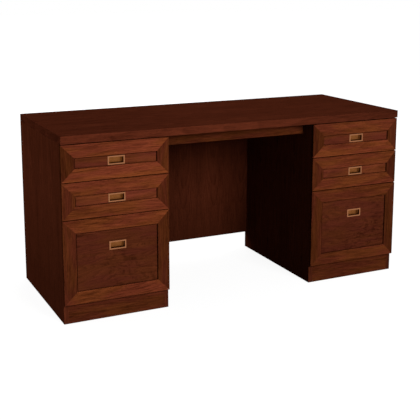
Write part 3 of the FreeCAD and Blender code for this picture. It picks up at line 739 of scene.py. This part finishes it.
def metal_nodes():
    """Slides, bars, levellers and the top's screws keep their solids and take their metal."""
    metals = {"_slides": "slide", "_hanging_bars": "aluminium", "_levellers": "zinc", "_screws": "zinc"}
    for node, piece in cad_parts.items():
        for ending, metal in metals.items():
            if node.endswith(ending):
                piece.material_slots[0].material = MATERIALS[metal]


# Screws of slides and drawer fronts

HEAD_RADIUS = 0.0038
HEAD_HEIGHT = 0.0022
HEAD_SIDES = 20
DOME_SHARE = 0.66
RECESS_LENGTH = 0.0042
RECESS_WIDTH = 0.0011
RECESS_DEPTH = 0.0012
SCREW_SEED = 7
SCREW_END = 0.035
SCREWS_ALONG_SLIDE = 4
FRONT_SCREW_SHARES = (0.18, 0.82)
FRONT_ROW_SHARES = (0.3, 0.78)
CENTRE_ROW_SHARES = (0.5,)


class Growth:
    """A Geometry Nodes tree with short ways to add nodes and named inputs to it."""

    def __init__(self, name):
        self.tree = bpy.data.node_groups.new(name, "GeometryNodeTree")
        self.tree.interface.new_socket(name="Geometry", in_out="INPUT", socket_type="NodeSocketGeometry")
        self.tree.interface.new_socket(name="Geometry", in_out="OUTPUT", socket_type="NodeSocketGeometry")
        self.given = self.tree.nodes.new("NodeGroupInput")
        self.sockets = {}

    def named(self, name, kind):
        """A named input of the tree."""
        socket = self.tree.interface.new_socket(name=name, in_out="INPUT", socket_type=kind)
        self.sockets[name] = socket.identifier
        return self.given.outputs[name]

    def add(self, kind, inputs=None, **settings):
        node = self.tree.nodes.new(kind)
        for key, value in settings.items():
            setattr(node, key, value)
        for key, value in (inputs or {}).items():
            if isinstance(value, bpy.types.NodeSocket):
                self.tree.links.new(value, node.inputs[key])
            else:
                node.inputs[key].default_value = value
        return node

    def math(self, operation, first, second):
        return self.add("ShaderNodeMath", {0: first, 1: second}, operation=operation).outputs[0]

    def moved_up(self, mesh, height):
        shift = self.add("ShaderNodeCombineXYZ", {"Z": height}).outputs[0]
        return self.add("GeometryNodeTransform", {"Geometry": mesh, "Translation": shift}).outputs[0]


def pan_head_tree():
    """Sets a cross-recessed pan head on every point, seated on it and facing along its "facing"."""
    growth = Growth("pan_head_screws")
    radius = growth.named("Head radius", "NodeSocketFloat")
    height = growth.named("Head height", "NodeSocketFloat")
    recess_length = growth.named("Recess length", "NodeSocketFloat")
    recess_width = growth.named("Recess width", "NodeSocketFloat")
    recess_depth = growth.named("Recess depth", "NodeSocketFloat")
    seed = growth.named("Seed", "NodeSocketInt")
    metal = growth.named("Metal", "NodeSocketMaterial")

    rim = growth.math("MULTIPLY", height, 0.5)
    pan = growth.add("GeometryNodeMeshCylinder", {"Vertices": HEAD_SIDES, "Radius": radius, "Depth": rim})
    pan = growth.moved_up(pan.outputs["Mesh"], growth.math("MULTIPLY", rim, 0.5))
    dome_radius = growth.math("MULTIPLY", radius, DOME_SHARE)
    dome = growth.add("GeometryNodeMeshCone", {"Vertices": HEAD_SIDES, "Radius Top": dome_radius,
                                               "Radius Bottom": radius, "Depth": rim})
    dome = growth.moved_up(dome.outputs["Mesh"], rim)
    head = growth.add("GeometryNodeMeshBoolean", operation="UNION")
    growth.tree.links.new(dome, head.inputs["Mesh 2"])
    growth.tree.links.new(pan, head.inputs["Mesh 2"])

    bars = []
    twice = growth.math("MULTIPLY", recess_depth, 2.0)
    for long_way, short_way in (("X", "Y"), ("Y", "X")):
        size = growth.add("ShaderNodeCombineXYZ",
                          {long_way: recess_length, short_way: recess_width, "Z": twice})
        bar = growth.add("GeometryNodeMeshCube", {"Size": size.outputs[0]}).outputs["Mesh"]
        bars.append(growth.moved_up(bar, height))
    cut = growth.add("GeometryNodeMeshBoolean", {"Mesh 1": head.outputs["Mesh"]}, operation="DIFFERENCE")
    for bar in bars:
        growth.tree.links.new(bar, cut.inputs["Mesh 2"])

    facing = growth.add("GeometryNodeInputNamedAttribute", {"Name": "facing"}, data_type="FLOAT_VECTOR")
    seated = growth.add("FunctionNodeAlignRotationToVector",
                        {"Vector": facing.outputs["Attribute"]}, axis="Z")
    turn = growth.add("FunctionNodeRandomValue", {"Seed": seed}, data_type="FLOAT")
    turn.inputs[2].default_value, turn.inputs[3].default_value = 0.0, math.tau
    spin = growth.add("FunctionNodeAxisAngleToRotation",
                      {"Axis": (0.0, 0.0, 1.0), "Angle": turn.outputs[1]})
    both = growth.add("FunctionNodeRotateRotation",
                      {"Rotation": seated.outputs[0], "Rotate By": spin.outputs[0]},
                      rotation_space="LOCAL")
    placed = growth.add("GeometryNodeInstanceOnPoints",
                        {"Points": growth.given.outputs["Geometry"], "Instance": cut.outputs["Mesh"],
                         "Rotation": both.outputs[0]})
    real = growth.add("GeometryNodeRealizeInstances", {"Geometry": placed.outputs[0]})
    coated = growth.add("GeometryNodeSetMaterial", {"Geometry": real.outputs[0], "Material": metal})
    result = growth.add("NodeGroupOutput")
    growth.tree.links.new(coated.outputs[0], result.inputs[0])
    return growth


def set_screws(growth, name, spots, body):
    """One mesh of all the screw heads of a body.

    spots are pairs of a seat and the way that the head on it faces.
    """
    mesh = bpy.data.meshes.new(name + "_seats")
    mesh.from_pydata([seat for seat, facing in spots], [], [])
    facings = mesh.attributes.new("facing", "FLOAT_VECTOR", "POINT")
    for number, (seat, facing) in enumerate(spots):
        facings.data[number].vector = facing
    piece = bpy.data.objects.new(name, mesh)
    bpy.context.scene.collection.objects.link(piece)
    modifier = piece.modifiers.new("screws", "NODES")
    modifier.node_group = growth.tree
    given = {"Head radius": HEAD_RADIUS, "Head height": HEAD_HEIGHT, "Recess length": RECESS_LENGTH,
             "Recess width": RECESS_WIDTH, "Recess depth": RECESS_DEPTH, "Seed": SCREW_SEED,
             "Metal": MATERIALS["zinc"]}
    for socket, value in given.items():
        modifier[growth.sockets[socket]] = value
    graph = bpy.context.evaluated_depsgraph_get()
    heads = bpy.data.meshes.new_from_object(piece.evaluated_get(graph))
    piece.modifiers.remove(modifier)
    piece.data = heads
    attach(piece, body)


def spaced(low, high, count):
    """Places spread evenly from one end of a stretch to the other."""
    return [low + (high - low) * number / (count - 1) for number in range(count)]


def slide_screws(drawer):
    """Seats on the drawer's channels, and on the case's channels behind them."""
    slide_low, slide_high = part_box(drawer + "_slides")
    wall_low, wall_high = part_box(drawer + "_box_walls")
    level = (slide_low.z + slide_high.z) / 2
    places = spaced(slide_low.y + SCREW_END, slide_high.y - SCREW_END, SCREWS_ALONG_SLIDE)
    on_drawer, on_case = [], []
    for wall, outward in ((wall_low.x, -1), (wall_high.x, 1)):
        seat = wall + outward * SLIDE_METAL
        case_seat = wall + outward * (SLIDE_SPACE - SLIDE_METAL)
        on_drawer += [((seat, y, level), (outward, 0, 0)) for y in places]
        on_case += [((case_seat, y, level), (-outward, 0, 0)) for y in places]
    return on_drawer, on_case


def front_screws(drawer):
    """Seats inside the box, where its front wall is screwed to the drawer front."""
    low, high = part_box(drawer + "_box_walls")
    y = low.y + BOX_WALL
    size = high - low
    rows = CENTRE_ROW_SHARES if drawer == "centre" else FRONT_ROW_SHARES
    return [((low.x + size.x * across, y, low.z + size.z * up), (0, 1, 0))
            for up in rows for across in FRONT_SCREW_SHARES]


def all_screws():
    """The screws of each drawer and of the case.

    The file drawers' middle channels lie too close to those of the case for heads between them.
    """
    growth = pan_head_tree()
    on_carcass = []
    for drawer in DRAWERS + ["centre"]:
        on_drawer, on_case = slide_screws(drawer)
        spots = on_drawer + front_screws(drawer)
        set_screws(growth, drawer + "_drawer_screws", spots, drawer + "_drawer")
        if "file" not in drawer:
            on_carcass += on_case
    set_screws(growth, "case_slide_screws", on_carcass, "carcass")


# Floor, light and camera

FLOOR_HALF = 30.0
FLOOR_ALBEDO = 0.20
GLOW_NEAR, GLOW_FAR = 0.90, 0.97
GLOW_REACH = (1.5, 6.0)
AMBIENT = 0.22


def seen_directly(tree):
    """A socket that is 1 where the viewer, or a reflection or refraction, meets the surroundings."""
    path = tree.nodes.new("ShaderNodeLightPath")
    total = path.outputs["Is Camera Ray"]
    for name in ("Is Glossy Ray", "Is Transmission Ray"):
        larger = tree.nodes.new("ShaderNodeMath")
        larger.operation = "MAXIMUM"
        tree.links.new(total, larger.inputs[0])
        tree.links.new(path.outputs[name], larger.inputs[1])
        total = larger.outputs[0]
    return total


def pale_floor():
    """A plain floor that shows white and keeps the desk's shadow."""
    material = bpy.data.materials.new("pale_floor")
    material.use_nodes = True
    tree = material.node_tree
    tree.nodes.clear()
    matt = tree.nodes.new("ShaderNodeBsdfDiffuse")
    matt.inputs["Color"].default_value = (FLOOR_ALBEDO, FLOOR_ALBEDO, FLOOR_ALBEDO, 1.0)
    place = tree.nodes.new("ShaderNodeTexCoord")
    reach = tree.nodes.new("ShaderNodeVectorMath")
    reach.operation = "LENGTH"
    tree.links.new(place.outputs["Object"], reach.inputs[0])
    strength = tree.nodes.new("ShaderNodeMapRange")
    tree.links.new(reach.outputs["Value"], strength.inputs[0])
    for socket, value in zip(strength.inputs[1:], (*GLOW_REACH, GLOW_NEAR, GLOW_FAR)):
        socket.default_value = value
    glow = tree.nodes.new("ShaderNodeEmission")
    tree.links.new(strength.outputs[0], glow.inputs["Strength"])
    both = tree.nodes.new("ShaderNodeAddShader")
    tree.links.new(matt.outputs[0], both.inputs[0])
    tree.links.new(glow.outputs[0], both.inputs[1])
    mix = tree.nodes.new("ShaderNodeMixShader")
    tree.links.new(seen_directly(tree), mix.inputs[0])
    tree.links.new(matt.outputs[0], mix.inputs[1])
    tree.links.new(both.outputs[0], mix.inputs[2])
    output = tree.nodes.new("ShaderNodeOutputMaterial")
    tree.links.new(mix.outputs[0], output.inputs["Surface"])

    mesh = bpy.data.meshes.new("floor")
    ends = (-FLOOR_HALF, FLOOR_HALF)
    mesh.from_pydata([(x, y, 0.0) for y in ends for x in ends], [], [(0, 1, 3, 2)])
    mesh.materials.append(material)
    floor = bpy.data.objects.new("floor", mesh)
    bpy.context.scene.collection.objects.link(floor)
    floor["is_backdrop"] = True


def surroundings():
    """White where the viewer looks, and a soft even light on the desk."""
    world = bpy.data.worlds.new("studio")
    bpy.context.scene.world = world
    world.use_nodes = True
    tree = world.node_tree
    tree.nodes.clear()
    soft = tree.nodes.new("ShaderNodeBackground")
    soft.inputs["Strength"].default_value = AMBIENT
    white = tree.nodes.new("ShaderNodeBackground")
    for background in (soft, white):
        background.inputs["Color"].default_value = (1.0, 1.0, 1.0, 1.0)
    mix = tree.nodes.new("ShaderNodeMixShader")
    tree.links.new(seen_directly(tree), mix.inputs[0])
    tree.links.new(soft.outputs[0], mix.inputs[1])
    tree.links.new(white.outputs[0], mix.inputs[2])
    output = tree.nodes.new("ShaderNodeOutputWorld")
    tree.links.new(mix.outputs[0], output.inputs["Surface"])


def soft_lamp(name, azimuth, elevation, distance, size, energy):
    """A square lamp aimed at the middle of the desk. Azimuth 0 is in front of it, 90 to its right."""
    low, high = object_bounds()
    middle = (low + high) / 2
    turn, rise = math.radians(azimuth), math.radians(elevation)
    toward = Vector((math.sin(turn) * math.cos(rise), -math.cos(turn) * math.cos(rise), math.sin(rise)))
    lamp = bpy.data.lights.new(name, "AREA")
    lamp.shape = "SQUARE"
    lamp.size = size
    lamp.energy = energy
    holder = bpy.data.objects.new(name, lamp)
    holder.location = middle + toward * distance
    holder.rotation_mode = "QUATERNION"
    holder.rotation_quaternion = (-toward).to_track_quat("-Z", "Y")
    bpy.context.scene.collection.objects.link(holder)
    holder.visible_glossy = False


def studio_lamps():
    soft_lamp("front_lamp", azimuth=10, elevation=24, distance=5.0, size=2.0, energy=190)
    soft_lamp("left_lamp", azimuth=-112, elevation=25, distance=5.0, size=2.5, energy=90)
    soft_lamp("right_lamp", azimuth=108, elevation=14, distance=5.0, size=2.5, energy=75)
    soft_lamp("rear_lamp", azimuth=165, elevation=18, distance=6.0, size=3.0, energy=130)


CAMERA_PLACE = (-1.7023, -3.5228, 1.3613)
CAMERA_AZIMUTH = -25.679
CAMERA_ELEVATION = 10.436
CAMERA_ROLL = 0.061
CAMERA_LENS_MM = 74.513
CAMERA_SENSOR_MM = 36.0
CAMERA_SHIFT = -0.1667


def viewer():
    """The camera, at the photograph's place."""
    turn, rise, roll = (math.radians(angle) for angle in (CAMERA_AZIMUTH, CAMERA_ELEVATION, CAMERA_ROLL))
    back = Vector((math.sin(turn) * math.cos(rise), -math.cos(turn) * math.cos(rise), math.sin(rise)))
    level = Vector((math.cos(turn), math.sin(turn), 0.0))
    upright = back.cross(level)
    right = math.cos(roll) * level + math.sin(roll) * upright
    up = math.cos(roll) * upright - math.sin(roll) * level
    camera = bpy.data.cameras.new("camera")
    camera.sensor_width = CAMERA_SENSOR_MM
    camera.lens = CAMERA_LENS_MM
    camera.shift_y = CAMERA_SHIFT
    holder = bpy.data.objects.new("camera", camera)
    turned = Matrix((right, up, back)).transposed().to_4x4()
    holder.matrix_world = Matrix.Translation(CAMERA_PLACE) @ turned
    bpy.context.scene.collection.objects.link(holder)
    bpy.context.scene.camera = holder


# Making the scene

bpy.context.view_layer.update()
desktop_slab()
carcass_boards()
for drawer in DRAWERS:
    drawer_front(drawer)
    drawer_pull(drawer)
    drawer_box(drawer, drawer + "_drawer")
centre_drawer()
metal_nodes()
all_screws()
pale_floor()
surroundings()
studio_lamps()
viewer()
bpy.context.scene.view_settings.view_transform = "Standard"
